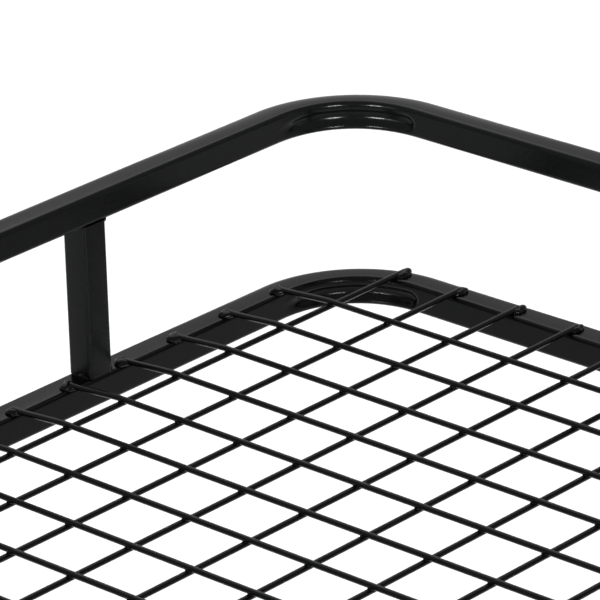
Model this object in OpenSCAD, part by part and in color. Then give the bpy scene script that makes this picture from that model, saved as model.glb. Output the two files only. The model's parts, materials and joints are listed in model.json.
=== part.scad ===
// Hitch cargo carrier: a steel basket in two bolted halves, on a folding 2 in receiver shank.
// Millimetres. +X runs along the basket, +Y points away from the vehicle and +Z is up.
// The origin is the centre of the hitch pin hole in the shank.

/* [Basket] */
// Overall length of the basket
basket_length = 1524; // [1500:1:1560]
// Overall width of the basket, front to back
basket_width = 709.8; // [690:0.1:740]
// Height from the top of the floor rail to the top of the top rail
side_height = 123.8; // [100:0.1:160]
// Width of the square rail tube
tube = 20; // [19:0.5:22]
// Wall of the rail tube
tube_wall = 1.5; // [1.2:0.1:2]
// Edge radius of the rail tube
tube_edge = 3; // [2.5:0.1:4]
// Outer radius of the rail bends
bend_radius = 82; // [70:1:100]
// Depth of the groove pressed into the inside of each bend
groove_depth = 2.4; // [1:0.1:3]
// Height of that groove
groove_height = 13; // [8:0.5:13]
// Side posts, from the ends of the basket
post_inset = 253; // [240:1:270]

/* [Mesh floor] */
// Diameter of the floor wires
wire_d = 3.9; // [3:0.1:5]
// Pitch of the floor wires, both ways
pitch = 48.9; // [45:0.1:49]
// First cross wire, from the end of the basket
first_cross = 83; // [78:1:90]
// Cross wires in each half
cross_wires = 14; // [8:1:14]
// Long wires in each half
long_wires = 13; // [9:2:13]
// Ends of the cross wires, from the outer faces of the long rails
cross_inset = 14; // [8:0.5:16]
// Ends of the long wires, from the outer face of the end rail and from the middle joint
long_inset = 6; // [4:0.5:12]

/* [Spine and shank] */
// Width of the square spine tube
spine_w = 44.45; // [40:0.05:45]
// Wall of the spine tube
spine_wall = 3; // [2:0.5:5]
// Width of the receiver shank
shank_w = 50.8; // [50:0.1:51]
// Wall of the shank
shank_wall = 4.8; // [4:0.1:6]
// Pin hole to the front end of the shank
pin_to_end = 63.5; // [55:0.5:75]
// Diameter of the hitch pin hole
hitch_hole_d = 16.2; // [16:0.1:17]
// Pin hole to the front face of the basket
basket_y = 215; // [210:1:250]
// Length of the two cross arms
arm_length = 440; // [380:2:460]
// Width of the square cross arms
arm_w = 25; // [22:0.5:26]
// Wall of the cross arms
arm_wall = 2; // [1.5:0.5:3]

/* [Hinge] */
// Pin hole to the fold pivot, along the shank
pivot_y = 150; // [145:1:150]
// Pivot height above the spine's centre line
pivot_z = 6; // [4:0.5:8]
// Thickness of the cheek plates
cheek_t = 6; // [5:0.5:8]
// Diameter of the pivot bolt and of the support pin
pin_d = 12.7; // [12:0.1:13]
// Radial clearance of the running fits
running = 0.08; // [0.05:0.01:0.1]
// Space between faces that move past each other
gap = 0.3; // [0.3:0.05:0.5]

/* [Hidden] */
$fn = 48;

black = "#1c1d1c";
plastic = "#101010";
zinc = "#b9bcc0";

half = basket_length / 2;
front_y = basket_y;
rear_y = basket_y + basket_width;
mid_y = basket_y + basket_width / 2;
arm_z = spine_w / 2;
rail_z = arm_z + arm_w + tube / 2;
floor_z = rail_z + tube / 2;
top_rail_z = floor_z + side_height - tube / 2;
post_h = side_height - tube;
bend_line = bend_radius - tube / 2;

// The wires clear the rails and each other by a hair
hair = 0.05;
long_wire_z = floor_z + wire_d / 2 + hair;
cross_wire_z = long_wire_z + wire_d + hair;
long_wire_y = mid_y - (long_wires - 1) / 2 * pitch;

// M8 fasteners
bolt_d = 8;
nut_h = 6.5;
nut_flats = 13;
washer_t = 1.6;
washer_d = 17;
bolt_hole_d = 8.6;
thread_end = 4;
head_d = 19;
head_h = 4.5;
rail_bolt_x = half - first_cross - 10.5 * pitch;
joint_bolt_rise = [35, 72];
joint_bolt_inset = 150;
// The U-bolt legs stand clear of the centre posts
u_leg_x = tube + washer_d / 2 + 0.5;
u_bend = 8;

// Hinge
cheek_x = shank_w / 2;
cheek_out = cheek_x + cheek_t;
spine_nose = 22;
spine_y = pivot_y - spine_nose;
spine_under = spine_w / 2 + pivot_z;
nose_sweep = norm([spine_nose, spine_w / 2 - pivot_z]);
shank_end = pivot_y - nose_sweep - 1.2;
support_y = pivot_y + 30;
support_z = pivot_z - spine_under - pin_d / 2 - gap;
upright_y = pivot_y + spine_under + pin_d / 2 + gap;
upright_z = pivot_z + 30;
cheek_edge = 14;
cheek_front = 70;
bush_d = 18;
pivot_washer_d = 27;
pivot_washer_t = 2.4;
pivot_flats = 19;
pivot_head_h = 8;
pivot_nut_h = 11;
collar_d = 20;
collar_t = 4;
pin_tip = 15;
tang_l = 17;
tang_t = 4;
tang_h = 14;
ring_x = cheek_out + gap + collar_t + 11;
ring_r = 13;
ring_wire = 3;
ring_hole_d = 4.4;

// Outline of a square with rounded edges, three short flats to each edge
function rounded(w, r) = [
    for (c = [[1, 1, 0], [-1, 1, 90], [-1, -1, 180], [1, -1, 270]], a = [0:30:90])
    [c[0] * (w / 2 - r) + r * cos(a + c[2]), c[1] * (w / 2 - r) + r * sin(a + c[2])]
];

// The same outline with a rounded groove pressed into its -X side
function grooved(w, r, depth, h) = concat(
    [for (c = [[1, -1, 270], [1, 1, 0]], a = [0:30:90])
        [c[0] * (w / 2 - r) + r * cos(a + c[2]), c[1] * (w / 2 - r) + r * sin(a + c[2])]],
    [for (a = [0:30:90]) [-(w / 2 - r) - r * sin(a), w / 2 - r + r * cos(a)]],
    [for (i = [0:8]) [-w / 2 + depth * (1 - cos(i * 45)) / 2, h / 2 - i * h / 8]],
    [for (a = [0:30:90]) [-(w / 2 - r) - r * cos(a), -(w / 2 - r) - r * sin(a)]]
);

module ring_2d(w, edge, wall) {
    difference() {
        polygon(rounded(w, edge));
        polygon(rounded(w - 2 * wall, max(edge - wall, 0.8)));
    }
}

module tube_x(l, w, edge, wall) {
    rotate([90, 0, 90]) linear_extrude(l) ring_2d(w, edge, wall);
}

module tube_y(l, w, edge, wall) {
    rotate([-90, 0, 0]) linear_extrude(l) ring_2d(w, edge, wall);
}

module tube_z(l) {
    linear_extrude(l) ring_2d(tube, tube_edge, tube_wall);
}

module rod_x(x, l, d) {
    translate([x, 0, 0]) rotate([0, 90, 0]) cylinder(h = l, d = d);
}

// A round washer or bush lying along X, from x
module ring_along_x(x, l, d, bore) {
    difference() {
        rod_x(x, l, d);
        rod_x(x - 1, l + 2, bore);
    }
}

module hexagon(h, flats) {
    cylinder(h = h, d = flats / cos(30), $fn = 6);
}

module nut(h, flats, bore) {
    difference() {
        hexagon(h, flats);
        translate([0, 0, -1]) cylinder(h = h + 2, d = bore);
    }
}

module washer(d, t, bore) {
    difference() {
        cylinder(h = t, d = d);
        translate([0, 0, -1]) cylinder(h = t + 2, d = bore);
    }
}

// Half of one rail: three straight runs and two grooved bends
module rail_bend() {
    rotate_extrude(angle = 90, $fn = 96) translate([bend_line, 0]) difference() {
        polygon(grooved(tube, tube_edge, groove_depth, groove_height));
        polygon(grooved(
            tube - 2 * tube_wall, tube_edge - tube_wall, groove_depth, groove_height));
    }
}

module half_rail(z) {
    run = half - bend_radius;
    translate([0, 0, z]) {
        for (y = [front_y + tube / 2, rear_y - tube / 2])
            translate([0, y, 0]) tube_x(run, tube, tube_edge, tube_wall);
        translate([half - tube / 2, front_y + bend_radius, 0])
            tube_y(basket_width - 2 * bend_radius, tube, tube_edge, tube_wall);
        translate([run, rear_y - bend_radius, 0]) rail_bend();
        translate([run, front_y + bend_radius, 0]) rotate([0, 0, -90]) rail_bend();
    }
}

module at_rail_bolts() {
    for (x = [-rail_bolt_x, rail_bolt_x], y = [front_y + tube / 2, rear_y - tube / 2])
        translate([x, y, 0]) children();
}

module half_floor_rail() {
    color(black) difference() {
        half_rail(rail_z);
        for (x = [u_leg_x, rail_bolt_x], y = [front_y + tube / 2, rear_y - tube / 2])
            translate([x, y, arm_z]) cylinder(h = 2 * arm_w, d = bolt_hole_d);
    }
}

module half_top_rail() {
    color(black) half_rail(top_rail_z);
}

module at_joint_bolts() {
    for (y = [front_y + joint_bolt_inset, rear_y - joint_bolt_inset])
        translate([0, y, rail_z]) children();
    for (y = [front_y + tube / 2, rear_y - tube / 2], rise = joint_bolt_rise)
        translate([0, y, floor_z + rise]) children();
}

module centre_tube() {
    color(black) difference() {
        translate([tube / 2, front_y + tube, rail_z])
            tube_y(basket_width - 2 * tube, tube, tube_edge, tube_wall);
        at_joint_bolts() rod_x(-1, tube + 2, bolt_hole_d);
    }
}

module post(x, y) {
    color(black) translate([x, y, floor_z]) tube_z(post_h);
}

module centre_post(y) {
    color(black) difference() {
        translate([tube / 2, y, floor_z]) tube_z(post_h);
        at_joint_bolts() rod_x(-1, tube + 2, bolt_hole_d);
    }
}

module half_cross_wires() {
    color(black) for (i = [0:cross_wires - 1])
        translate([half - first_cross - i * pitch, front_y + cross_inset, cross_wire_z])
            rotate([-90, 0, 0]) cylinder(h = basket_width - 2 * cross_inset, d = wire_d, $fn = 24);
}

// The middle long wire stops short of the end post
function long_wire_l(i) = half - long_inset - (2 * i == long_wires - 1 ? tube + gap : long_inset);

module half_long_wires() {
    color(black) for (i = [0:long_wires - 1])
        translate([long_inset, long_wire_y + i * pitch, long_wire_z])
            rotate([0, 90, 0]) cylinder(h = long_wire_l(i), d = wire_d, $fn = 24);
}

// Fasteners through the rails and arms
module rail_bolts() {
    shaft = tube + arm_w + washer_t + nut_h + thread_end;
    dome = (head_d * head_d / 4 + head_h * head_h) / (2 * head_h);
    color(zinc) at_rail_bolts() {
        translate([0, 0, floor_z - shaft]) cylinder(h = shaft, d = bolt_d);
        intersection() {
            translate([0, 0, floor_z + head_h - dome]) sphere(dome);
            translate([0, 0, floor_z]) cylinder(h = 2 * head_h, d = 2 * head_d);
        }
    }
}

module rail_washers() {
    color(zinc) at_rail_bolts()
        translate([0, 0, arm_z - washer_t]) washer(washer_d, washer_t, bolt_hole_d);
}

module rail_nuts() {
    color(zinc) at_rail_bolts() translate([0, 0, arm_z - washer_t - nut_h])
        nut(nut_h, nut_flats, bolt_d + 2 * hair);
}

// Bolts that pull the two halves together
module joint_bolts() {
    color(zinc) at_joint_bolts() {
        rod_x(-tube - washer_t, 2 * (tube + washer_t) + nut_h + thread_end, bolt_d);
        translate([-tube - washer_t, 0, 0]) rotate([0, -90, 0]) hexagon(5.3, nut_flats);
    }
}

module joint_washers() {
    color(zinc) at_joint_bolts() for (x = [-tube - washer_t, tube])
        ring_along_x(x, washer_t, washer_d, bolt_hole_d);
}

module joint_nuts() {
    color(zinc) at_joint_bolts() translate([tube + washer_t, 0, 0]) rotate([0, 90, 0])
        nut(nut_h, nut_flats, bolt_d + 2 * hair);
}

// Cross arms, and the U-bolts that clamp the floor rails and the arms to the spine
module at_arms() {
    for (y = [front_y + tube / 2, rear_y - tube / 2]) translate([0, y, 0]) children();
}

module arm(y) {
    color(black) difference() {
        translate([-arm_length / 2, y, arm_z + arm_w / 2]) tube_x(arm_length, arm_w, 3, arm_wall);
        for (x = [-rail_bolt_x, -u_leg_x, u_leg_x, rail_bolt_x])
            translate([x, y, arm_z - 1]) cylinder(h = arm_w + 2, d = bolt_hole_d);
    }
}

module cap(w, wall, plug, flange) {
    fit = w - 2 * wall - 2 * hair;
    linear_extrude(flange) polygon(rounded(w, 3));
    translate([0, 0, -plug]) linear_extrude(plug) polygon(rounded(fit, 1.5));
}

module arm_caps() {
    color(plastic) at_arms() for (side = [0, 1]) mirror([side, 0, 0])
        translate([arm_length / 2, 0, arm_z + arm_w / 2]) rotate([90, 0, 90])
            cap(arm_w, arm_wall, 12, 2.5);
}

module u_bolts() {
    low = -spine_w / 2 - bolt_d / 2 - hair;
    top = floor_z + washer_t + nut_h + thread_end;
    color(zinc) at_arms() {
        for (side = [0, 1]) mirror([side, 0, 0]) {
            translate([u_leg_x, 0, low + u_bend]) cylinder(h = top - low - u_bend, d = bolt_d);
            translate([u_leg_x - u_bend, 0, low + u_bend]) rotate([90, 90, 0])
                rotate_extrude(angle = 90) translate([u_bend, 0]) circle(d = bolt_d);
        }
        translate([0, 0, low]) rod_x(-u_leg_x + u_bend, 2 * (u_leg_x - u_bend), bolt_d);
    }
}

module u_bolt_washers() {
    color(zinc) at_arms() for (x = [-u_leg_x, u_leg_x])
        translate([x, 0, floor_z]) washer(washer_d, washer_t, bolt_hole_d);
}

module u_bolt_nuts() {
    color(zinc) at_arms() for (x = [-u_leg_x, u_leg_x])
        translate([x, 0, floor_z + washer_t]) nut(nut_h, nut_flats, bolt_d + 2 * hair);
}

// Spine, with the bush that turns on the pivot bolt
module spine() {
    color(black) difference() {
        translate([0, spine_y, 0]) tube_y(rear_y - spine_y, spine_w, 4, spine_wall);
        translate([0, pivot_y, pivot_z]) rod_x(-spine_w, 2 * spine_w, bush_d);
    }
}

module spine_cap() {
    color(plastic) translate([0, rear_y, 0]) rotate([-90, 0, 0]) cap(spine_w, spine_wall, 15, 3);
}

module at_pivot() {
    translate([0, pivot_y, pivot_z]) children();
}

module pivot_bush() {
    color(zinc) at_pivot()
        ring_along_x(-spine_w / 2, spine_w, bush_d, pin_d + 2 * running);
}

module spacer_washers() {
    t = cheek_x - spine_w / 2 - gap;
    color(zinc) at_pivot() for (x = [-spine_w / 2 - t, spine_w / 2])
        ring_along_x(x, t, pivot_washer_d, pin_d + 2 * running);
}

// Shank and cheek plates, which stay on the vehicle
module shank() {
    color(black) difference() {
        translate([0, -pin_to_end, 0])
            tube_y(pin_to_end + shank_end, shank_w, 5, shank_wall);
        rod_x(-shank_w, 2 * shank_w, hitch_hole_d);
    }
}

module shank_cap() {
    color(plastic) translate([0, -pin_to_end, 0]) rotate([90, 0, 0])
        cap(shank_w, shank_wall, 15, 3);
}

// Outline of a cheek plate, seen from +X, with Y across and Z up
module cheek_outline() {
    back = max(support_y, upright_y) + cheek_edge;
    bottom = support_z - cheek_edge;
    top = upright_z + cheek_edge;
    low_front = -shank_w / 2 + 4;
    polygon([
        [cheek_front, low_front], [shank_end - 4, low_front], [support_y - 16, bottom],
        [back - 12, bottom], [back, bottom + 12], [back, top - 12],
        [back - 12, top], [upright_y - 10, top], [shank_end, -low_front], [cheek_front, -low_front]
    ]);
}

module cheek_plate(side) {
    x = side > 0 ? cheek_x : -cheek_out;
    color(black) difference() {
        translate([x, 0, 0]) rotate([90, 0, 90]) linear_extrude(cheek_t) cheek_outline();
        for (at = [[pivot_y, pivot_z], [support_y, support_z], [upright_y, upright_z]])
            translate([0, at[0], at[1]]) rod_x(x - 1, cheek_t + 2, pin_d + 2 * running);
    }
}

module pivot_bolt() {
    shaft_x = cheek_out + pivot_washer_t;
    color(zinc) at_pivot() {
        rod_x(-shaft_x, 2 * shaft_x + pivot_nut_h + thread_end, pin_d);
        translate([-shaft_x, 0, 0]) rotate([0, -90, 0]) hexagon(pivot_head_h, pivot_flats);
    }
}

module pivot_washers() {
    color(zinc) at_pivot() for (x = [-cheek_out - pivot_washer_t, cheek_out])
        ring_along_x(x, pivot_washer_t, pivot_washer_d, pin_d + 2 * running);
}

module pivot_nut() {
    color(zinc) at_pivot() translate([cheek_out + pivot_washer_t, 0, 0]) rotate([0, 90, 0])
        nut(pivot_nut_h, pivot_flats, pin_d + 2 * hair);
}

// Support pin: the spine rests on it, and it moves to the upper holes to hold the basket upright
module support_pin() {
    collar_x = cheek_out + gap;
    color(zinc) translate([0, support_y, support_z]) difference() {
        union() {
            rod_x(-cheek_out - pin_tip, cheek_out + pin_tip + collar_x, pin_d);
            rod_x(collar_x, collar_t, collar_d);
            translate([-cheek_out - pin_tip, 0, 0]) rotate([0, -90, 0])
                cylinder(h = 3, d1 = pin_d, d2 = pin_d - 6);
            translate([collar_x + collar_t, -tang_t / 2, -tang_h / 2])
                cube([tang_l, tang_t, tang_h]);
        }
        translate([ring_x, -tang_t, 0]) rotate([-90, 0, 0])
            cylinder(h = 2 * tang_t, d = ring_hole_d);
    }
}

module pull_ring() {
    color(zinc) translate([ring_x, support_y, support_z - ring_r]) rotate([0, 90, 0])
        rotate_extrude($fn = 64) translate([ring_r, 0]) circle(d = ring_wire);
}

module left() {
    mirror([1, 0, 0]) children();
}

post_x = half - post_inset;
front_post_y = front_y + tube / 2;
rear_post_y = rear_y - tube / 2;

shank();
shank_cap();
cheek_plate(-1);  // cheek_plate_left
cheek_plate(1);  // cheek_plate_right
pivot_bolt();
pivot_washers();
pivot_nut();
support_pin();
pull_ring();
spine();
spine_cap();
pivot_bush();
spacer_washers();
arm(front_y + tube / 2);  // front_arm
arm(rear_y - tube / 2);  // rear_arm
arm_caps();
u_bolts();
u_bolt_washers();
u_bolt_nuts();
left() half_floor_rail();  // floor_rail_left
half_floor_rail();  // floor_rail_right
left() half_top_rail();  // top_rail_left
half_top_rail();  // top_rail_right
left() centre_tube();  // centre_tube_left
centre_tube();  // centre_tube_right
post(-post_x, front_post_y);  // post_front_left
post(post_x, front_post_y);  // post_front_right
post(-post_x, rear_post_y);  // post_rear_left
post(post_x, rear_post_y);  // post_rear_right
left() centre_post(front_post_y);  // centre_post_front_left
centre_post(front_post_y);  // centre_post_front_right
left() centre_post(rear_post_y);  // centre_post_rear_left
centre_post(rear_post_y);  // centre_post_rear_right
post(tube / 2 - half, mid_y);  // end_post_left
post(half - tube / 2, mid_y);  // end_post_right
left() half_cross_wires();  // cross_wires_left
half_cross_wires();  // cross_wires_right
left() half_long_wires();  // long_wires_left
half_long_wires();  // long_wires_right
rail_bolts();
rail_washers();
rail_nuts();
joint_bolts();
joint_washers();
joint_nuts();
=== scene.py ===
"""Looks of a folding hitch cargo carrier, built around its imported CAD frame.

Everything is in metres in the CAD's own frame: +X along the basket, +Y away from the vehicle,
+Z up, origin at the hitch pin hole. The right half (+X) is built and the left is its mirror.
"""

import json
import math
import random

import bmesh
import bpy
from mathutils import Matrix, Quaternion, Vector


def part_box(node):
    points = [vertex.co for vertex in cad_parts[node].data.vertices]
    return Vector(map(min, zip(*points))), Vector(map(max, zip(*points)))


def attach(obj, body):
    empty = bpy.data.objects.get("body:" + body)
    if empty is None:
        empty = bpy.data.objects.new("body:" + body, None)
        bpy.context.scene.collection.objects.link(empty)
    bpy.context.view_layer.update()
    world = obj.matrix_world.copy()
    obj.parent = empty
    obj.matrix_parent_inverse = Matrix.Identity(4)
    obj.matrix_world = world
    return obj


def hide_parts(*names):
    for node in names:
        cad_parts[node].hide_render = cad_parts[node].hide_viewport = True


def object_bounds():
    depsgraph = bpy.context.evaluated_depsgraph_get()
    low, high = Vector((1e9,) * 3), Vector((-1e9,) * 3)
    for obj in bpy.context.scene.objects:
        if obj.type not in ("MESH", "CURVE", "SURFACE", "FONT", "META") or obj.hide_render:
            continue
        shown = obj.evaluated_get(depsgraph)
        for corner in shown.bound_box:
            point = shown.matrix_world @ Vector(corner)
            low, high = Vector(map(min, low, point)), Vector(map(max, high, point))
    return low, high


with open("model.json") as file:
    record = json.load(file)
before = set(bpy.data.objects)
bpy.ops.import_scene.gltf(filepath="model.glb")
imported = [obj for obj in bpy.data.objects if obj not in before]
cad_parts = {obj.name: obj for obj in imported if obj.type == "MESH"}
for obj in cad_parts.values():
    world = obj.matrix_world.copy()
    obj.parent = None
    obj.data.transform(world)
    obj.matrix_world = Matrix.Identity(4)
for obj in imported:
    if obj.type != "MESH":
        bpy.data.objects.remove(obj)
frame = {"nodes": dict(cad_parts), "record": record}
cad_low, cad_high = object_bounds()

MM = 0.001
SHARP_FROM = 38  # degrees between faces
BASKET = "basket_assembly"
SHANK = "shank_assembly"
X, Y, Z = Vector((1, 0, 0)), Vector((0, 1, 0)), Vector((0, 0, 1))

# Places and sizes taken from the frame
floor_low, floor_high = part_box("floor_rail_right")
top_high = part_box("top_rail_right")[1]
shank_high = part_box("shank")[1]
half = floor_high.x
front, rear = floor_low.y, floor_high.y
floor_z = floor_high.z
tube = floor_high.z - floor_low.z
hw = tube / 2

# Rails: sizes that the frame's boxes don't give
BEND_R = 82 * MM                # outside of a bend
EDGE_R = 3 * MM
HALF_BEND = (BEND_R - tube) * math.pi / 4  # inside of a bend, from its middle to its end
TOP_SHOULDER = 6.8 * MM         # width of the softened outer top edge
FLOOR_SHOULDER = 3.5 * MM
SHOULDER_GROWTH = 1.1           # what a bend adds to that width, as a share of it
SHOULDER_FADE = 120 * MM        # how far past the bend that lasts
BEND_FLATTENING = 2.0 * MM      # how far the inner wall is drawn outward in mid bend
GROOVE_DEPTH = 3.2 * MM
GROOVE_HALF_H = 7.2 * MM
GROOVE_DROP = -0.9 * MM         # height of the groove's middle, from the tube's
GROOVE_HOLLOW = 0.62            # share of the groove's half height that is hollow, not rim
GROOVE_PAST_BEND = 1.5 * MM
GROOVE_RUN_OUT = 34 * MM        # length of the slow end
GROOVE_END = 10 * MM            # length of the round end

# Mesh floor
CROSS_WIRES = 14
LONG_WIRES = 13
WIRE_SINK = 0.35 * MM           # how far the long wires are pressed into the rails
WIRE_BITE = 0.7 * MM            # how far crossing wires are pressed into each other
DIP_START = 6 * MM              # where a cross wire starts to rise, from its end
WIRE_MELT = 3 * MM              # what the welds take off the ends of the long wires
WIRE_REST = 2 * MM              # where the rise ends, before the first long wire

# Welds
LOBE_BLEND = 8                  # higher values keep the lobes of a lump more distinct
POST_SEAM_R = 0.7 * MM
TUBE_SEAM_R = 1.8 * MM
CHEEK_SEAM_R = 2.4 * MM
CHEEK_SEAM_Z = 21.4 * MM        # height of the seams above and below the shank's middle

# Fasteners
M8_R = 4 * MM
M8_FLATS = 13 * MM
M8_PITCH = 1.25 * MM
M8_WASHER_D = 17 * MM
M8_WASHER_BORE = 8.6 * MM
M8_WASHER_T = 1.6 * MM
CARRIAGE_HEAD_R = 9.5 * MM
CARRIAGE_THREAD_UP = 5 * MM     # top of the thread, above the nut's lower face
JOINT_BOLT_INSET = 150 * MM     # centre tube bolts, from the front and the rear
JOINT_BOLT_GAP = 37 * MM        # between the two bolts in a pair of posts
JOINT_THREAD_IN_NUT = 1.5 * MM  # start of the thread, inside the nut's outer face
U_BOLT_BEND_R = 8 * MM
U_BOLT_THREAD_IN_NUT = 2 * MM
PIVOT_R = 6.35 * MM
PIVOT_FLATS = 19 * MM
PIVOT_PITCH = 1.95 * MM
PIVOT_THREAD_IN_NUT = 3 * MM

# Studio
WORLD_FRONT = 0.62              # brightness on the side the basket is seen from
WORLD_BACK = 0.70               # and beyond the basket
FLOOR_DROP = 0.45               # studio floor, below the carrier
FLOOR_HALF = 30.0
POOL = Vector((1.05, 1.45, 0))  # middle of the overhead light's pool, from the corner
OVERHEAD_HEIGHT = 2.2
OVERHEAD_LIGHT = (3.0, 3.0, 48)  # width, height and watts
FRONT_AZIMUTHS = {"front_left": 8, "front_right": 62}
FRONT_RISE = 1
FRONT_DISTANCE = 3.4
FRONT_LIGHT = (1.0, 0.45, 14, 50)  # width, height, watts and spread in degrees

rng = random.Random(7)


# ---------------------------------------------------------------- camera
def make_camera():
    """Looks at the rear right corner of the basket, from inside and above."""
    aim = Vector((half - 85.8 * MM, rear - 37.4 * MM, floor_z + 0.3 * MM))
    azimuth, elevation, roll = map(math.radians, (-47.26, 23.256, -1.696))
    distance = 3.3155
    back = Vector((
        math.sin(azimuth) * math.cos(elevation),
        -math.cos(azimuth) * math.cos(elevation),
        math.sin(elevation),
    ))
    data = bpy.data.cameras.new("camera")
    data.lens = 305.0
    data.sensor_width = 36.0
    data.clip_start = 0.1
    data.clip_end = 100.0
    cam = bpy.data.objects.new("camera", data)
    bpy.context.scene.collection.objects.link(cam)
    cam.rotation_mode = "QUATERNION"
    cam.location = aim + back * distance
    cam.rotation_quaternion = (-back).to_track_quat("-Z", "Y") @ Quaternion((0, 0, 1), roll)
    bpy.context.scene.camera = cam


# ---------------------------------------------------------------- materials
def node_material(name):
    mat = bpy.data.materials.new(name)
    mat.use_nodes = True
    tree = mat.node_tree
    shader = tree.nodes["Principled BSDF"]
    coords = tree.nodes.new("ShaderNodeTexCoord")
    return mat, tree, shader, coords.outputs["Object"]


def noise(tree, coords, scale, detail=2.0, roughness=0.5):
    node = tree.nodes.new("ShaderNodeTexNoise")
    node.inputs["Scale"].default_value = scale
    node.inputs["Detail"].default_value = detail
    node.inputs["Roughness"].default_value = roughness
    tree.links.new(coords, node.inputs["Vector"])
    return node.outputs["Fac"]


def spread(tree, value, from_low, from_high, to_low, to_high):
    node = tree.nodes.new("ShaderNodeMapRange")
    for name, number in zip(("From Min", "From Max", "To Min", "To Max"),
                            (from_low, from_high, to_low, to_high)):
        node.inputs[name].default_value = number
    tree.links.new(value, node.inputs["Value"])
    return node.outputs["Result"]


def two_tone(tree, value, dark, light, low, high):
    """Colour that goes from dark to light as value goes from low to high."""
    ramp = tree.nodes.new("ShaderNodeValToRGB")
    ramp.color_ramp.elements[0].position = low
    ramp.color_ramp.elements[0].color = (*dark, 1)
    ramp.color_ramp.elements[1].position = high
    ramp.color_ramp.elements[1].color = (*light, 1)
    tree.links.new(value, ramp.inputs["Fac"])
    return ramp.outputs["Color"]


def bump(tree, height, distance, strength, under=None):
    node = tree.nodes.new("ShaderNodeBump")
    node.inputs["Distance"].default_value = distance
    node.inputs["Strength"].default_value = strength
    tree.links.new(height, node.inputs["Height"])
    if under is not None:
        tree.links.new(under, node.inputs["Normal"])
    return node.outputs["Normal"]


def powder_coat(name, grain=1.0, rough=0.16):
    """Semi-gloss black powder coat: orange peel, a fine speckle and slightly uneven gloss."""
    mat, tree, shader, coords = node_material(name)
    speckle = noise(tree, coords, 900, 3, 0.7)
    peel = noise(tree, coords, 330, 1, 0.4)
    cloud = noise(tree, coords, 9, 3, 0.6)
    colour = two_tone(tree, speckle, (0.0009, 0.0011, 0.0010), (0.0030, 0.0032, 0.0033), 0.38, 0.66)
    tree.links.new(colour, shader.inputs["Base Color"])
    gloss = spread(tree, cloud, 0.3, 0.7, rough - 0.03, rough + 0.05)
    tree.links.new(gloss, shader.inputs["Roughness"])
    fine = bump(tree, speckle, 0.00005, 0.6 * grain)
    tree.links.new(bump(tree, peel, 0.00012, 0.35 * grain, fine), shader.inputs["Normal"])
    shader.inputs["Specular IOR Level"].default_value = 0.10
    return mat


def zinc(name):
    """Bright zinc plate with faint patches and fine scuffs."""
    mat, tree, shader, coords = node_material(name)
    patches = noise(tree, coords, 60, 4, 0.6)
    scuffs = noise(tree, coords, 1400, 2, 0.7)
    colour = two_tone(tree, patches, (0.50, 0.51, 0.52), (0.68, 0.68, 0.66), 0.35, 0.68)
    tree.links.new(colour, shader.inputs["Base Color"])
    tree.links.new(spread(tree, patches, 0.3, 0.7, 0.26, 0.42), shader.inputs["Roughness"])
    tree.links.new(bump(tree, scuffs, 0.00005, 0.4), shader.inputs["Normal"])
    shader.inputs["Metallic"].default_value = 1.0
    return mat


def moulded_plastic(name):
    """Black moulded plastic with a fine even grain."""
    mat, tree, shader, coords = node_material(name)
    grain = noise(tree, coords, 1800, 2, 0.6)
    cloud = noise(tree, coords, 40, 2, 0.5)
    colour = two_tone(tree, cloud, (0.006, 0.006, 0.0062), (0.010, 0.010, 0.0102), 0.3, 0.7)
    tree.links.new(colour, shader.inputs["Base Color"])
    tree.links.new(spread(tree, cloud, 0.3, 0.7, 0.5, 0.62), shader.inputs["Roughness"])
    tree.links.new(bump(tree, grain, 0.0001, 0.5), shader.inputs["Normal"])
    shader.inputs["Specular IOR Level"].default_value = 0.4
    return mat


coat = powder_coat("black_powder_coat")
post_coat = powder_coat("black_powder_coat_post", rough=0.25)
wire_coat = powder_coat("black_powder_coat_wire", grain=0.5, rough=0.24)
weld_coat = powder_coat("black_powder_coat_weld", grain=0.3, rough=0.20)
plate = zinc("zinc_plate")
plastic = moulded_plastic("black_plastic")


# ---------------------------------------------------------------- mesh helpers
def loft(rows, caps=True):
    """Skin over rows of points; each row is a ring. Returns (points, faces)."""
    n = len(rows[0])
    points = [p for row in rows for p in row]
    faces = []
    for r in range(len(rows) - 1):
        a, b = r * n, (r + 1) * n
        for i in range(n):
            j = (i + 1) % n
            faces.append((a + i, a + j, b + j, b + i))
    if caps:
        faces.append(tuple(range(n))[::-1])
        faces.append(tuple(range(len(points) - n, len(points))))
    return points, faces


def ring(loops):
    """Skin that closes on itself both ways, such as a washer. Each loop is a ring of points."""
    points, faces = loft(loops + [loops[0]], caps=False)
    n = len(loops[0])
    last = len(loops) * n
    faces = [tuple(i - last if i >= last else i for i in f) for f in faces]
    return points[:last], faces


def moved(part, matrix):
    points, faces = part
    points = [matrix @ Vector(p) for p in points]
    if matrix.determinant() < 0:
        faces = [f[::-1] for f in faces]
    return points, faces


def mirrored(parts):
    return [moved(p, Matrix.Scale(-1, 4, X)) for p in parts]


def place(origin, z_axis=Z):
    """Matrix that puts a part's own Z along z_axis at origin."""
    z = Vector(z_axis).normalized()
    x = Y if abs(z.x) > 0.9 else X
    y = z.cross(x).normalized()
    x = y.cross(z)
    m = Matrix((x, y, z)).transposed().to_4x4()
    m.translation = Vector(origin)
    return m


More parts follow.
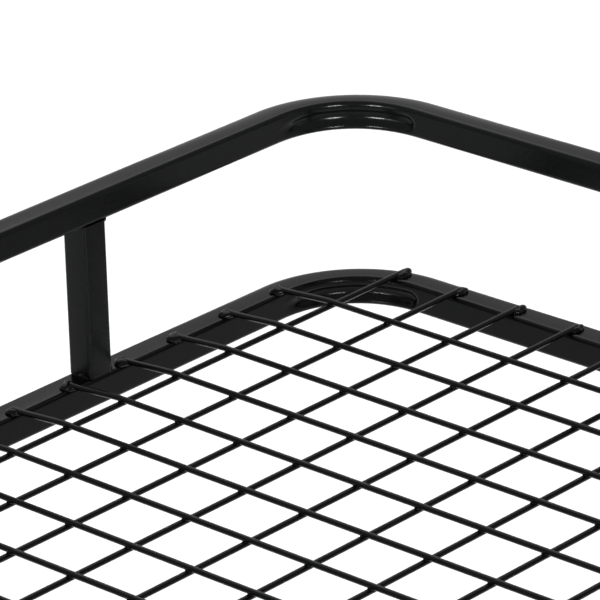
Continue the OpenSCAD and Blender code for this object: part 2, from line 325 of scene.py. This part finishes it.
def piece(name, parts, mat, nodes=(), body=BASKET):
    """One object made of several parts, smooth but for its sharp edges."""
    points, faces = [], []
    for p, f in parts:
        base = len(points)
        points += [tuple(v) for v in p]
        faces += [tuple(i + base for i in face) for face in f]
    mesh = bpy.data.meshes.new(name)
    mesh.from_pydata(points, [], faces)
    mesh.validate()
    work = bmesh.new()
    work.from_mesh(mesh)
    bmesh.ops.recalc_face_normals(work, faces=work.faces)
    work.to_mesh(mesh)
    work.free()
    mesh.shade_smooth()
    mesh.set_sharp_from_angle(angle=math.radians(SHARP_FROM))
    mesh.materials.append(mat)
    obj = bpy.data.objects.new(name, mesh)
    bpy.context.scene.collection.objects.link(obj)
    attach(obj, body)
    if nodes:
        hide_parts(*nodes)
    return obj


def both_sides(name, parts, mat, nodes=()):
    """The right half's piece and its mirror; node names end in _right and _left."""
    for side, made in (("right", parts), ("left", mirrored(parts))):
        piece(f"{name}_{side}", made, mat, [f"{n}_{side}" for n in nodes])


def rounded_square(w, r):
    """Outline of a rounded square as (u, v) pairs, anticlockwise."""
    steps = 6
    out = []
    for k in range(4):
        turn = math.pi / 2 * k
        for i in range(steps + 1):
            a = math.pi / 2 * i / steps
            u, v = w / 2 - r + r * math.cos(a), w / 2 - r + r * math.sin(a)
            out.append((u * math.cos(turn) - v * math.sin(turn),
                        u * math.sin(turn) + v * math.cos(turn)))
    return out


def tube_part(start, end):
    """Straight rounded square tube from start to end, closed at the ends."""
    axis = Vector(end) - Vector(start)
    m = place(start, axis)
    outline = rounded_square(tube, EDGE_R)
    rows = [[m @ Vector((u, v, h)) for u, v in outline] for h in (0, axis.length)]
    return loft(rows)


def circle(radius, height, m, count):
    """Ring of points about the part's own Z."""
    return [m @ Vector((radius * math.cos(a), radius * math.sin(a), height))
            for a in (2 * math.pi * i / count for i in range(count))]


def lathe(profile, m, count=32):
    """Solid of revolution about the part's own Z. Profile is (radius, height) pairs."""
    return loft([circle(r, h, m, count) for r, h in profile])


def sweep(path, radius, count):
    """Round bar along a path of points; radius may vary with the share of the path."""
    rows = []
    side = None
    for i, p in enumerate(path):
        a = path[i - 1] if i else p
        b = path[i + 1] if i + 1 < len(path) else p
        along = (b - a).normalized()
        if side is None:
            side = along.cross(Z if abs(along.z) < 0.9 else X).normalized()
        side = (side - along * side.dot(along)).normalized()
        up = along.cross(side)
        r = radius(i / (len(path) - 1)) if callable(radius) else radius
        rows.append([p + side * (r * math.cos(t)) + up * (r * math.sin(t))
                     for t in (2 * math.pi * k / count for k in range(count))])
    return loft(rows)


def hex_part(flats, height, m, bore=0.0, both_ends=False):
    """Hexagon head or nut with the corners turned off, along the part's own Z."""
    chamfer = math.tan(math.radians(30))
    face_r = flats / 2 * 0.96
    count = 72

    def corner_r(a):
        return flats / 2 / math.cos((a + math.pi / 6) % (math.pi / 3) - math.pi / 6)

    angles = [2 * math.pi * i / count for i in range(count)]

    def row(radius, height_at):
        return [m @ Vector((radius(a) * math.cos(a), radius(a) * math.sin(a), height_at(a)))
                for a in angles]

    low = (lambda a: (corner_r(a) - face_r) * chamfer) if both_ends else (lambda a: 0.0)
    rows = [
        row(lambda a: face_r if both_ends else corner_r(a), lambda a: 0.0),
        row(corner_r, low),
        row(corner_r, lambda a: height - (corner_r(a) - face_r) * chamfer),
        row(lambda a: face_r, lambda a: height),
    ]
    if not bore:
        return loft(rows)
    bevel = 0.6 * MM
    rows += [
        row(lambda a: bore + bevel, lambda a: height),
        row(lambda a: bore, lambda a: height - bevel),
        row(lambda a: bore, lambda a: bevel),
        row(lambda a: bore + bevel, lambda a: 0.0),
    ]
    return ring(rows)


def thread_part(length, m, r=M8_R, pitch=M8_PITCH, count=20):
    """Threaded end of a bolt, along the part's own Z, with a chamfered tip."""
    depth = 0.61 * pitch
    tip = 1.0 * MM
    steps = max(8, int(length / pitch * 6))
    rows = []
    for s in range(steps + 1):
        h = length * s / steps
        row = []
        for i in range(count):
            a = 2 * math.pi * i / count
            phase = (h / pitch - i / count) % 1.0
            radius = r - depth * abs(2 * phase - 1)
            if h > length - tip:
                radius = min(radius, r - (h - (length - tip)))
            row.append(m @ Vector((radius * math.cos(a), radius * math.sin(a), h)))
        rows.append(row)
    return loft(rows)


def washer_part(t, m):
    """M8 washer with broken edges."""
    d, bore_d = M8_WASHER_D, M8_WASHER_BORE
    e = 0.25 * MM
    profile = [(d / 2 - e, 0), (d / 2, e), (d / 2, t - e), (d / 2 - e, t),
               (bore_d / 2 + e, t), (bore_d / 2, t - e), (bore_d / 2, e), (bore_d / 2 + e, 0)]
    return ring([circle(r, h, m, 40) for r, h in profile])


def make_ball(level):
    work = bmesh.new()
    bmesh.ops.create_icosphere(work, subdivisions=level, radius=1.0)
    made = ([v.co.copy() for v in work.verts], [tuple(v.index for v in f.verts) for f in work.faces])
    work.free()
    return made


BALL, FINE_BALL = make_ball(2), make_ball(3)


def blob(centre, radii, rough, turn):
    """Lump of weld metal: a ball stretched to radii, uneven by a share rough, turned about Z."""
    points, faces = BALL
    lobes = [(Vector([rng.uniform(-1, 1) for _ in range(3)]).normalized(), rng.uniform(1.5, 3.5))
             for _ in range(3)]
    spin = Matrix.Rotation(turn, 3, "Z")
    out = []
    for p in points:
        swell = 1 + rough * sum(math.sin(k * 3 * p.dot(d)) for d, k in lobes) / 3
        out.append(Vector(centre) + spin @ Vector([p[i] * radii[i] * swell for i in range(3)]))
    return out, faces


def lump(centre, lobes, rough):
    """One smooth lump of weld metal: ellipsoids that all hold the centre, blended together.
    Each lobe is (offset from the centre, radii)."""
    points, faces = FINE_BALL
    waves = [(Vector([rng.uniform(-1, 1) for _ in range(3)]).normalized(), rng.uniform(2, 4),
              rng.uniform(0, 6)) for _ in range(3)]
    out = []
    for p in points:
        reach = 0.0
        for offset, radii in lobes:
            d = Vector([p[i] / radii[i] for i in range(3)])
            o = Vector([offset[i] / radii[i] for i in range(3)])
            along = d.dot(o) / d.dot(d)
            out_by = along + math.sqrt(max(0.0, along ** 2 + (1 - o.dot(o)) / d.dot(d)))
            reach += max(out_by, 0.0) ** LOBE_BLEND
        wobble = 1 + rough * sum(math.sin(k * p.dot(w) * 2 + a) for w, k, a in waves) / 3
        out.append(Vector(centre) + p * (reach ** (1 / LOBE_BLEND) * wobble))
    return out, faces


def bead(start, end, radius, lift=0.0):
    """Weld bead of overlapping ripples along a straight joint."""
    start, end = Vector(start), Vector(end)
    length = (end - start).length
    pitch = 1.7 * MM
    count = max(6, int(length / pitch * 6))
    phase = rng.uniform(0, 1)

    def thickness(t):
        ripple = 1 + 0.10 * abs(math.sin(math.pi * (t * length / pitch + phase)))
        ends = min(1.0, 0.45 + 6 * min(t, 1 - t))
        return radius * ripple * ends

    path = [start.lerp(end, i / count) + Z * lift for i in range(count + 1)]
    return sweep(path, thickness, count=12)


# ---------------------------------------------------------------- rails
def groove(s, v):
    """Depth of the recess that bending presses into the inside of a bend.
    s is the distance along the inner face from the middle of the bend, v the height.
    The recess starts with a round end and runs out slowly at the other. Its hollow floor
    turns over into a rounded rim."""
    length = HALF_BEND + GROOVE_PAST_BEND
    end = GROOVE_RUN_OUT if s > 0 else GROOVE_END
    past = max(0.0, abs(s) - (length - end)) * GROOVE_HALF_H / end
    inside = math.hypot(past, v - GROOVE_DROP)
    if inside >= GROOVE_HALF_H:
        return 0.0
    both_r = (GROOVE_HALF_H ** 2 + GROOVE_DEPTH ** 2) / (2 * GROOVE_DEPTH)
    hollow_r = both_r * GROOVE_HOLLOW
    rim_r = both_r - hollow_r
    if inside < GROOVE_HALF_H * GROOVE_HOLLOW:
        return GROOVE_DEPTH - hollow_r + math.sqrt(hollow_r ** 2 - inside ** 2)
    return rim_r - math.sqrt(rim_r ** 2 - (GROOVE_HALF_H - inside) ** 2)


def flattening(s):
    """How far bending draws the inside of a bend outward, s from its middle."""
    return BEND_FLATTENING * math.cos(math.pi / 2 * min(1.0, abs(s) / HALF_BEND)) ** 2


def rail_outline(shoulder):
    """Rail section as (outward, up) pairs, with many points on the inner face for the groove.
    Bending draws the outer top edge down into a shoulder that is softer than the other edges."""
    out = []
    flat = hw - EDGE_R
    corner = [math.pi / 2 * i / 9 for i in range(10)]
    out += [(hw - shoulder + shoulder * math.cos(a), flat + EDGE_R * math.sin(a)) for a in corner]
    out += [(-flat - EDGE_R * math.sin(a), flat + EDGE_R * math.cos(a)) for a in corner]
    rows = 36
    out += [(-hw, flat - 2 * flat * i / rows) for i in range(1, rows)]
    out += [(-flat - EDGE_R * math.cos(a), -flat - EDGE_R * math.sin(a)) for a in corner]
    out += [(flat + EDGE_R * math.sin(a), -flat - EDGE_R * math.cos(a)) for a in corner]
    return out


def rail_stations():
    """Stations along half a rail: (centre, outward direction, distance from a bend's middle)."""
    run = half - BEND_R
    line_r = BEND_R - hw
    fine = [i * 0.4 * MM for i in range(1, 24)] + [SHOULDER_FADE * i / 4 for i in range(1, 5)]
    steps = 88
    far = 1.0  # beyond the reach of any bend
    out = [(Vector((0, front + hw, 0)), -Y, far)]
    out += [(Vector((run - d, front + hw, 0)), -Y, HALF_BEND + d) for d in reversed(fine)]
    for centre_y, start in ((front + BEND_R, -math.pi / 2), (rear - BEND_R, 0.0)):
        for i in range(steps + 1):
            a = start + math.pi / 2 * i / steps
            outward = Vector((math.cos(a), math.sin(a), 0))
            s = 2 * HALF_BEND * (i / steps - 0.5)
            out.append((Vector((run, centre_y, 0)) + outward * line_r, outward, s))
        if start < 0:
            x = half - hw
            out += [(Vector((x, front + BEND_R + d, 0)), X, HALF_BEND + d) for d in fine]
            out += [(Vector((x, rear - BEND_R - d, 0)), X, HALF_BEND + d) for d in reversed(fine)]
    out += [(Vector((run - d, rear - hw, 0)), Y, HALF_BEND + d) for d in fine]
    out.append((Vector((0, rear - hw, 0)), Y, far))
    return out


def half_rail(centre_z, shoulder):
    flat = hw - EDGE_R
    rows = []
    for centre, outward, s in rail_stations():
        near_bend = min(1.0, max(0.0, 1 - (abs(s) - HALF_BEND) / SHOULDER_FADE))
        row = []
        for u, v in rail_outline(shoulder * (1 + SHOULDER_GROWTH * near_bend)):
            inner = (hw - u) / tube
            if u < -flat:
                u += groove(s, v)
            u += flattening(s) * inner
            row.append(centre + outward * u + Z * (centre_z + v))
        rows.append(row)
    return loft(rows)


def make_rails():
    both_sides("floor_rail", [half_rail(floor_z - hw, FLOOR_SHOULDER)], coat,
               ["floor_rail"])
    both_sides("top_rail", [half_rail(top_high.z - hw, TOP_SHOULDER)], coat,
               ["top_rail"])


# ---------------------------------------------------------------- posts and tubes
POST_NODES = [n for n in frame["nodes"] if "post" in n]


def make_posts():
    """Each post, and the weld beads where its sides meet the rails."""
    for n in POST_NODES:
        low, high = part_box(n)
        x, y = (low.x + high.x) / 2, (low.y + high.y) / 2
        piece(n.replace("post", "upright"), [tube_part((x, y, low.z), (x, y, high.z))],
              post_coat, [n])
        along = Y if abs(abs(x) - half + hw) > MM else X
        across = X if along == Y else Y
        tacks = []
        for side in (-1, 1):
            face = Vector((x, y, 0)) + across * (side * hw)
            if n.startswith("centre") and abs(face.x) < hw:
                continue
            for z, lift in ((low.z, 1), (high.z, -1)):
                tacks += corner_weld(face, along, across * side, z, lift)
        piece(n.replace("post", "post_welds"), tacks, weld_coat)


def corner_weld(face, along, out, z, lift):
    """Fillet weld where one side of a post meets a rail: a low seam with one larger lump."""
    reach = hw - 3.5 * MM
    seam = [face + along * (reach * t) + Z * z for t in (-1, 1)]
    parts = [bead(seam[0], seam[1], POST_SEAM_R, lift * 0.1 * MM)]
    toward_middle = -1 if along.dot(Vector((face.x, face.y - (front + rear) / 2, 0))) > 0 else 1
    at = face + along * (toward_middle * 3.5 * MM + jitter(1.0 * MM)) + out * 0.3 * MM
    at.z = z + lift * 0.8 * MM
    long_r, thick, rise = (3.6 * MM, 1.8 * MM, 2.4 * MM)
    radii = (thick, long_r, rise) if abs(along.y) > 0.5 else (long_r, thick, rise)
    tail = Vector((0, 0, -lift * 0.4 * MM)) + along * (toward_middle * 1.6 * MM)
    parts.append(lump(at, [(Vector(), radii), (tail, radii)], 0.10))
    return parts


def make_centre_tubes():
    low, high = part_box("centre_tube_right")
    x, z = (low.x + high.x) / 2, (low.z + high.z) / 2
    both_sides("floor_tube", [tube_part((x, low.y, z), (x, high.y, z))], coat,
               ["centre_tube"])
    inset = 2 * MM
    beads = []
    for y in (low.y, high.y):
        for height in (low.z, high.z):
            beads.append(bead((low.x + inset, y, height), (high.x - inset, y, height),
                              TUBE_SEAM_R))
        beads.append(bead((high.x, y, low.z + inset), (high.x, y, high.z - inset),
                          TUBE_SEAM_R))
    both_sides("floor_tube_welds", beads, weld_coat)


# ---------------------------------------------------------------- mesh floor
cross_low, cross_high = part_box("cross_wires_right")
long_low, long_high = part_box("long_wires_right")
wire_r = (cross_high.z - cross_low.z) / 2
long_z = floor_z + wire_r - WIRE_SINK
cross_z = long_z + 2 * wire_r - WIRE_BITE
cross_pitch = (cross_high.x - cross_low.x - 2 * wire_r) / (CROSS_WIRES - 1)
long_pitch = (long_high.y - long_low.y - 2 * wire_r) / (LONG_WIRES - 1)
cross_x = [cross_low.x + wire_r + i * cross_pitch for i in range(CROSS_WIRES)]
long_y = [long_low.y + wire_r + i * long_pitch for i in range(LONG_WIRES)]


def wire(start, end, count=18):
    """Round wire with sheared ends."""
    start, end = Vector(start), Vector(end)
    m = place(start, end - start)
    length = (end - start).length
    nip = 0.5 * MM
    profile = [(wire_r * 0.78, 0), (wire_r, nip), (wire_r, length - nip), (wire_r * 0.78, length)]
    return lathe(profile, m, count)


def cross_wire(x):
    """Wire that lies on the long wires and is pressed down to the rails at its ends."""
    steps = 10
    first, last = cross_low.y + DIP_START, long_y[0] - WIRE_REST
    dip = []
    for i in range(steps + 1):
        t = i / steps
        rise = 0.75 * t + 0.25 * t * t * (3 - 2 * t)
        dip.append((first + (last - first) * t, long_z + (cross_z - long_z) * rise))
    near = [(cross_low.y, long_z)] + dip
    far = [(front + rear - y, z) for y, z in reversed(near)]
    path = [Vector((x, y, z)) for y, z in near + far]
    return sweep(path, wire_r, 18)


def jitter(size):
    return rng.uniform(-size, size)


def make_mesh_floor():
    cross = [cross_wire(x) for x in cross_x]
    both_sides("mesh_cross_wires", cross, wire_coat, ["cross_wires"])
    long_ends = [long_high.x] * LONG_WIRES
    long_ends[LONG_WIRES // 2] = half - tube
    long_wires = [wire((long_low.x, y, long_z), (end - WIRE_MELT, y, long_z))
                  for y, end in zip(long_y, long_ends)]
    both_sides("mesh_long_wires", long_wires, wire_coat, ["long_wires"])

    joins = []
    for x in cross_x:
        for y in long_y:
            at = (x + jitter(0.15 * MM), y + jitter(0.15 * MM), (cross_z + long_z) / 2)
            joins.append(blob(at, (2.3 * MM, 2.3 * MM, 1.1 * MM), 0.08, math.pi / 4))
    both_sides("mesh_joins", joins, wire_coat)

    # Tack welds: beside each cross wire's end on the long rails, and along each long wire's end
    tacks = []
    for x in cross_x:
        for end, way in ((cross_low.y, -1), (cross_high.y, 1)):
            size = MM * (1 + jitter(0.10))
            middle = Vector((x - 2.0 * size + jitter(0.3 * MM), end - way * 2.4 * size,
                             floor_z + 0.8 * MM))
            tacks.append(lump(middle, [
                (Vector((-0.8, 0.4 * way, -0.2)) * size, Vector((4.2, 4.2, 2.7)) * size),
                (Vector((1.6, 1.2 * way, 0.4)) * size, Vector((2.6, 3.0, 2.8)) * size),
                (Vector((0.8, -2.2 * way, 0)) * size, Vector((2.2, 3.2, 2.2)) * size),
            ], 0.14))
    for y, far in zip(long_y, long_ends):
        for end, way in ((far, -1), (long_low.x, 1)):
            size = MM * (1 + jitter(0.10))
            middle = Vector((end + way * 6.5 * size, y - 2.0 * size, floor_z + 0.6 * MM))
            tacks.append(lump(middle, [
                (Vector((0, -0.4, 0)) * size, Vector((4.6, 3.2, 2.6)) * size),
                (Vector((-3.4 * way, 0.3, 0.3)) * size, Vector((4.4, 2.8, 2.9)) * size),
                (Vector((2.6 * way, 0.3, 0)) * size, Vector((3.6, 2.2, 2.0)) * size),
            ], 0.14))
    both_sides("mesh_tacks", tacks, weld_coat)


# ---------------------------------------------------------------- fasteners
def make_rail_fasteners():
    """Carriage bolts down through the floor rails and the cross arms."""
    low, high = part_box("rail_bolts")
    nut_low, nut_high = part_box("rail_nuts")
    washer_low, washer_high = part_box("rail_washers")
    head_h = high.z - floor_z
    thread_z = nut_low.z + CARRIAGE_THREAD_UP
    bolts, nuts, washers = [], [], []
    for sx in (-1, 1):
        for y in (front + hw, rear - hw):
            x = sx * (high.x - CARRIAGE_HEAD_R)
            dome = [(M8_R, -0.5 * MM), (CARRIAGE_HEAD_R, 0.0)]
            dome += [(CARRIAGE_HEAD_R * math.cos(a), head_h * math.sin(a))
                     for a in (math.pi / 2 * i / 9 for i in range(1, 9))]
            dome.append((0.02 * MM, head_h))
            bolts.append(lathe(dome, place((x, y, floor_z))))
            bolts.append(lathe([(M8_R, 0), (M8_R, thread_z - floor_z)], place((x, y, floor_z))))
            bolts.append(thread_part(thread_z - low.z, place((x, y, thread_z), -Z)))
            nuts.append(hex_part(M8_FLATS, nut_high.z - nut_low.z,
                                 place((x, y, nut_low.z)), M8_R, True))
            washers.append(washer_part(washer_high.z - washer_low.z,
                                       place((x, y, washer_low.z))))
    piece("carriage_bolts", bolts, plate, ["rail_bolts"])
    piece("carriage_bolt_nuts", nuts, plate, ["rail_nuts"])
    piece("carriage_bolt_washers", washers, plate, ["rail_washers"])


def joint_bolt_places():
    """Bolt centres (y, z): two through the centre tubes, two through each pair of posts."""
    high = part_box("joint_bolts")[1]
    r = M8_FLATS / 2 / math.cos(math.pi / 6)
    tube_z = floor_z - hw
    top_z = high.z - r
    out = [(y, tube_z) for y in (front + JOINT_BOLT_INSET, rear - JOINT_BOLT_INSET)]
    low_z = top_z - JOINT_BOLT_GAP
    out += [(y, z) for y in (front + hw, rear - hw) for z in (low_z, top_z)]
    return out


def make_joint_fasteners():
    low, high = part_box("joint_bolts")
    nut_low, nut_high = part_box("joint_nuts")
    t = M8_WASHER_T
    start = nut_high.x - JOINT_THREAD_IN_NUT
    bolts, nuts, washers = [], [], []
    for y, z in joint_bolt_places():
        bolts.append(hex_part(M8_FLATS, -low.x - tube - t, place((-tube - t, y, z), -X)))
        bolts.append(lathe([(M8_R, 0), (M8_R, start + tube + t)], place((-tube - t, y, z), X)))
        bolts.append(thread_part(high.x - start, place((start, y, z), X)))
        nuts.append(hex_part(M8_FLATS, nut_high.x - nut_low.x, place((nut_low.x, y, z), X),
                             M8_R, True))
        for x in (-tube - t, tube):
            washers.append(washer_part(t, place((x, y, z), X)))
    piece("half_joint_bolts", bolts, plate, ["joint_bolts"])
    piece("half_joint_nuts", nuts, plate, ["joint_nuts"])
    piece("half_joint_washers", washers, plate, ["joint_washers"])


def make_u_bolts():
    low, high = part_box("u_bolts")
    nut_low, nut_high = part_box("u_bolt_nuts")
    washer_low, washer_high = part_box("u_bolt_washers")
    leg = high.x - M8_R
    bottom = low.z + M8_R
    bend = U_BOLT_BEND_R
    start = nut_high.z - U_BOLT_THREAD_IN_NUT
    bolts, nuts, washers = [], [], []
    for y in (front + hw, rear - hw):
        arc = [math.pi / 2 * i / 8 for i in range(9)]
        path = [Vector((-leg, y, start))]
        path += [Vector((-leg + bend - bend * math.cos(a), y, bottom + bend - bend * math.sin(a)))
                 for a in arc]
        path += [Vector((leg - bend + bend * math.sin(a), y, bottom + bend - bend * math.cos(a)))
                 for a in arc]
        path.append(Vector((leg, y, start)))
        bolts.append(sweep(path, M8_R, 24))
        for x in (-leg, leg):
            bolts.append(thread_part(high.z - start, place((x, y, start))))
            nuts.append(hex_part(M8_FLATS, nut_high.z - nut_low.z, place((x, y, nut_low.z)),
                                 M8_R, True))
            washers.append(washer_part(washer_high.z - washer_low.z,
                                       place((x, y, washer_low.z))))
    piece("arm_u_bolts", bolts, plate, ["u_bolts"])
    piece("arm_u_bolt_nuts", nuts, plate, ["u_bolt_nuts"])
    piece("arm_u_bolt_washers", washers, plate, ["u_bolt_washers"])


def make_pivot_fasteners():
    low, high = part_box("pivot_bolt")
    nut_low, nut_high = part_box("pivot_nut")
    y, z = (low.y + high.y) / 2, (low.z + high.z) / 2
    washer_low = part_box("pivot_washers")[0]
    r, flats = PIVOT_R, PIVOT_FLATS
    start = nut_high.x - PIVOT_THREAD_IN_NUT
    bolt = [
        hex_part(flats, washer_low.x - low.x, place((washer_low.x, y, z), -X)),
        lathe([(r, 0), (r, start - washer_low.x)], place((washer_low.x, y, z), X)),
        thread_part(high.x - start, place((start, y, z), X), r, PIVOT_PITCH, 24),
    ]
    piece("fold_pivot_bolt", bolt, plate, ["pivot_bolt"], SHANK)
    nut = hex_part(flats, nut_high.x - nut_low.x, place((nut_low.x, y, z), X), r, True)
    piece("fold_pivot_nut", [nut], plate, ["pivot_nut"], SHANK)


# ---------------------------------------------------------------- shank welds
def make_shank_welds():
    """Beads that hold the cheek plates to the shank."""
    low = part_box("cheek_plate_right")[0]
    x = shank_high.x
    z_low, z_high = -CHEEK_SEAM_Z, CHEEK_SEAM_Z
    beads = []
    for z in (z_low, z_high):
        y_end = shank_high.y - 6 * MM
        beads.append(bead((x, low.y + 2 * MM, z), (x, y_end, z), CHEEK_SEAM_R))
    beads.append(bead((x, low.y, z_low + 1 * MM), (x, low.y, z_high - 1 * MM), CHEEK_SEAM_R))
    for side, made in (("right", beads), ("left", mirrored(beads))):
        piece(f"cheek_welds_{side}", made, weld_coat, body=SHANK)


# ---------------------------------------------------------------- carried-over CAD nodes
def dress_cad_nodes():
    finishes = {"black_powder_coat": coat, "zinc_hardware": plate, "black_plastic": plastic}
    for row in frame["record"]["subparts"]:
        obj = frame["nodes"][row["node"]]
        if obj.hide_render:
            continue
        mesh = obj.data
        mesh.materials.clear()
        mesh.materials.append(finishes[row["material_slot"]])
        soft = obj.modifiers.new("broken_edges", "BEVEL")
        soft.width = 0.35 * MM
        soft.segments = 2
        soft.limit_method = "ANGLE"
        soft.angle_limit = math.radians(40)


# ---------------------------------------------------------------- stage
def emission_world():
    world = bpy.data.worlds.new("studio")
    bpy.context.scene.world = world
    world.use_nodes = True
    tree = world.node_tree
    # Bright beyond the basket, darker on the side it is seen from
    coords = tree.nodes.new("ShaderNodeTexCoord")
    turn = tree.nodes.new("ShaderNodeVectorMath")
    turn.operation = "DOT_PRODUCT"
    turn.inputs[1].default_value = (0.60, 0.80, 0.0)
    tree.links.new(coords.outputs["Generated"], turn.inputs[0])
    glow = spread(tree, turn.outputs["Value"], -0.6, 0.6, WORLD_FRONT, WORLD_BACK)
    back = tree.nodes["Background"]
    back.inputs["Color"].default_value = (1.0, 1.0, 1.0, 1)
    tree.links.new(glow, back.inputs["Strength"])


def area_light(name, position, target, width, height, power, spread_angle=180):
    data = bpy.data.lights.new(name, "AREA")
    data.shape = "RECTANGLE"
    data.size = width
    data.size_y = height
    data.energy = power
    data.spread = math.radians(spread_angle)
    light = bpy.data.objects.new(name, data)
    bpy.context.scene.collection.objects.link(light)
    light.location = position
    light.rotation_mode = "QUATERNION"
    light.rotation_quaternion = (Vector(target) - Vector(position)).to_track_quat("-Z", "Y")


def make_stage():
    emission_world()
    corner = Vector((half, rear, floor_z))
    z = cad_low.z - FLOOR_DROP
    outline = [(-1, -1), (1, -1), (1, 1), (-1, 1)]
    mesh = bpy.data.meshes.new("studio_floor")
    mesh.from_pydata([(u * FLOOR_HALF, v * FLOOR_HALF, z) for u, v in outline], [],
                     [(0, 1, 2, 3)])
    floor = bpy.data.objects.new("studio_floor", mesh)
    bpy.context.scene.collection.objects.link(floor)
    mat, _, shader, _ = node_material("studio_floor")
    shader.inputs["Base Color"].default_value = (0.92, 0.92, 0.92, 1)
    shader.inputs["Roughness"].default_value = 0.9
    shader.inputs["Specular IOR Level"].default_value = 0.1
    mesh.materials.append(mat)
    pool = corner + POOL
    area_light("overhead", pool + Z * OVERHEAD_HEIGHT, pool, *OVERHEAD_LIGHT)
    for name, azimuth in FRONT_AZIMUTHS.items():
        a, rise = math.radians(azimuth), math.radians(FRONT_RISE)
        way = Vector((-math.cos(a) * math.cos(rise), -math.sin(a) * math.cos(rise), math.sin(rise)))
        area_light(name, corner + way * FRONT_DISTANCE, corner, *FRONT_LIGHT)


make_camera()
make_rails()
make_posts()
make_centre_tubes()
make_mesh_floor()
make_rail_fasteners()
make_joint_fasteners()
make_u_bolts()
make_pivot_fasteners()
make_shank_welds()
dress_cad_nodes()
make_stage()
bpy.context.scene.view_settings.view_transform = "Standard"
